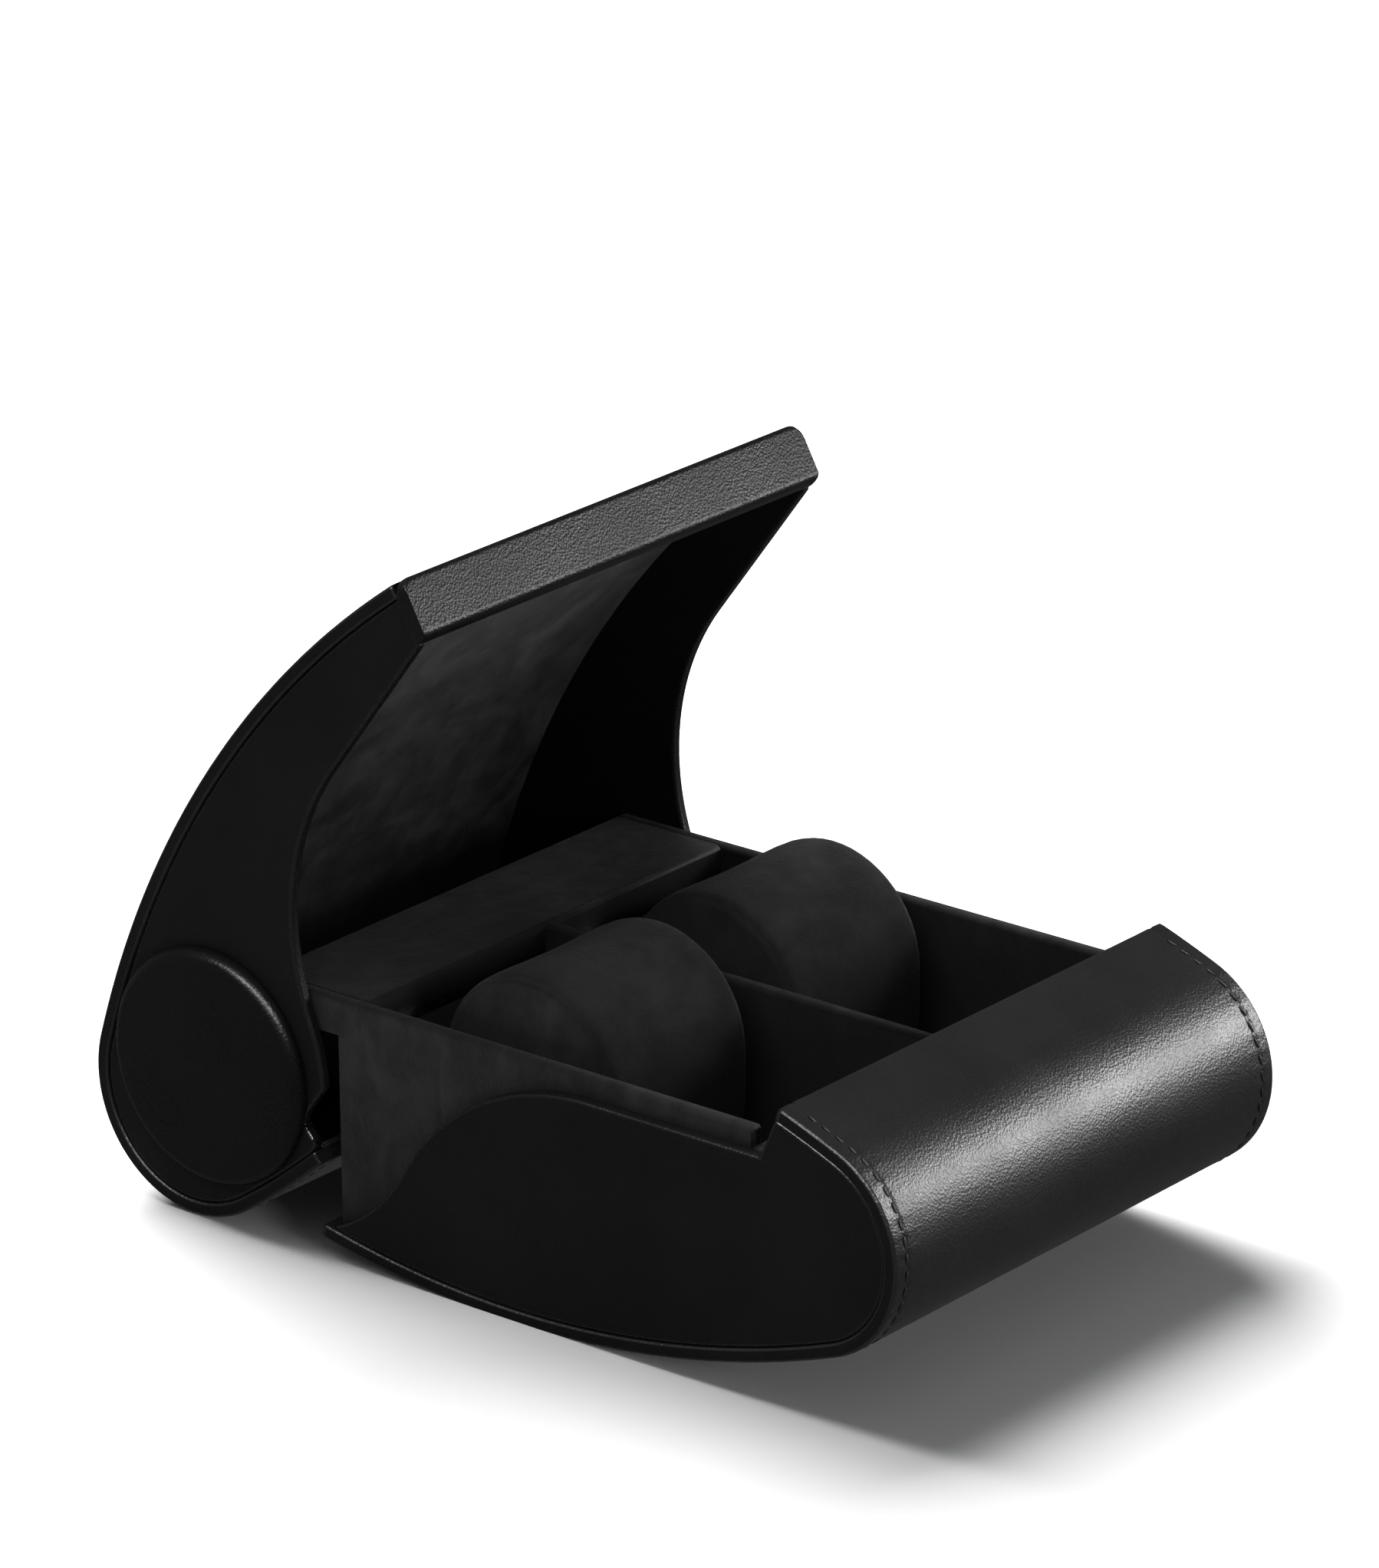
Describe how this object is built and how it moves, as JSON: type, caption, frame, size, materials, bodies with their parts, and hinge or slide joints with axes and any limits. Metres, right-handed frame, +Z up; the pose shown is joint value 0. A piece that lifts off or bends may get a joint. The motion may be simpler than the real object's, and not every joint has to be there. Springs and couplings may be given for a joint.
{
  "type": "double watch case",
  "caption": "Pebble-shaped leather watch case with a curved swing-back lid, padded pivot discs and a suede tray with two cushions.",
  "frame": {"origin": "middle of the underside of the open case's bounding box, on the surface it stands on", "axes": "+X to the case's right side, +Y from the nose to the hinge side, +Z up"},
  "size_m": [0.122, 0.1948, 0.1412],
  "materials": {
    "shell_leather": "smooth fine-grain black leather with a soft sheen",
    "panel_leather": "matt black leather, burnished at the edges",
    "trim_leather": "black leather turned over a stiff edge",
    "pad_leather": "black leather stretched over a padded disc",
    "tray_suede": "charcoal suede with a short mottled nap",
    "lining_suede": "charcoal suede lining",
    "cushion_suede": "charcoal suede cushion cover",
    "cushion_foam": "soft foam",
    "former_wood": "plain sawn wood",
    "hinge_steel": "satin steel",
    "magnet_nickel": "nickel plated",
    "washer_nylon": "natural nylon"
  },
  "bodies": {
    "base": {"base_shell": "shell_leather", "base_side_panel_left": "panel_leather", "base_side_panel_right": "panel_leather", "nose_core": "former_wood", "nose_trim": "trim_leather", "tray_side_left": "tray_suede", "tray_side_right": "tray_suede", "tray_front_wall": "tray_suede", "tray_rear_wall": "tray_suede", "tray_ledge": "tray_suede", "tray_divider": "tray_suede", "tray_floor": "tray_suede", "floor_battens": "former_wood", "hinge_bracket_left": "hinge_steel", "hinge_bracket_right": "hinge_steel", "bracket_screws": "hinge_steel", "hinge_washers": "washer_nylon", "base_magnets": "magnet_nickel"},
    "lid": {"lid_shell": "shell_leather", "lid_lining": "lining_suede", "lid_cheek_left": "panel_leather", "lid_cheek_right": "panel_leather", "lid_front_strip": "trim_leather", "hinge_plate_left": "hinge_steel", "hinge_plate_right": "hinge_steel", "plate_screws": "hinge_steel", "stud_clips": "hinge_steel", "lid_magnets": "magnet_nickel", "pivot_pad_left": "pad_leather", "pivot_pad_right": "pad_leather"},
    "cushion_left": {"cushion_core_left": "cushion_foam", "cushion_cover_left": "cushion_suede", "cushion_ends_left": "cushion_suede"},
    "cushion_right": {"cushion_core_right": "cushion_foam", "cushion_cover_right": "cushion_suede", "cushion_ends_right": "cushion_suede"}
  },
  "joints": [
    {"name": "lid_hinge", "type": "hinge", "parent": "base", "child": "lid", "pos_m": [0, 0.05529, 0.01306], "axis": [1, 0, 0], "range_deg": [0, 53]},
    {"name": "cushion_left_lift", "type": "slide", "parent": "base", "child": "cushion_left", "axis": [0, 0, 1], "range_m": [0, 0.002]},
    {"name": "cushion_right_lift", "type": "slide", "parent": "base", "child": "cushion_right", "axis": [0, 0, 1], "range_m": [0, 0.002]}
  ]
}
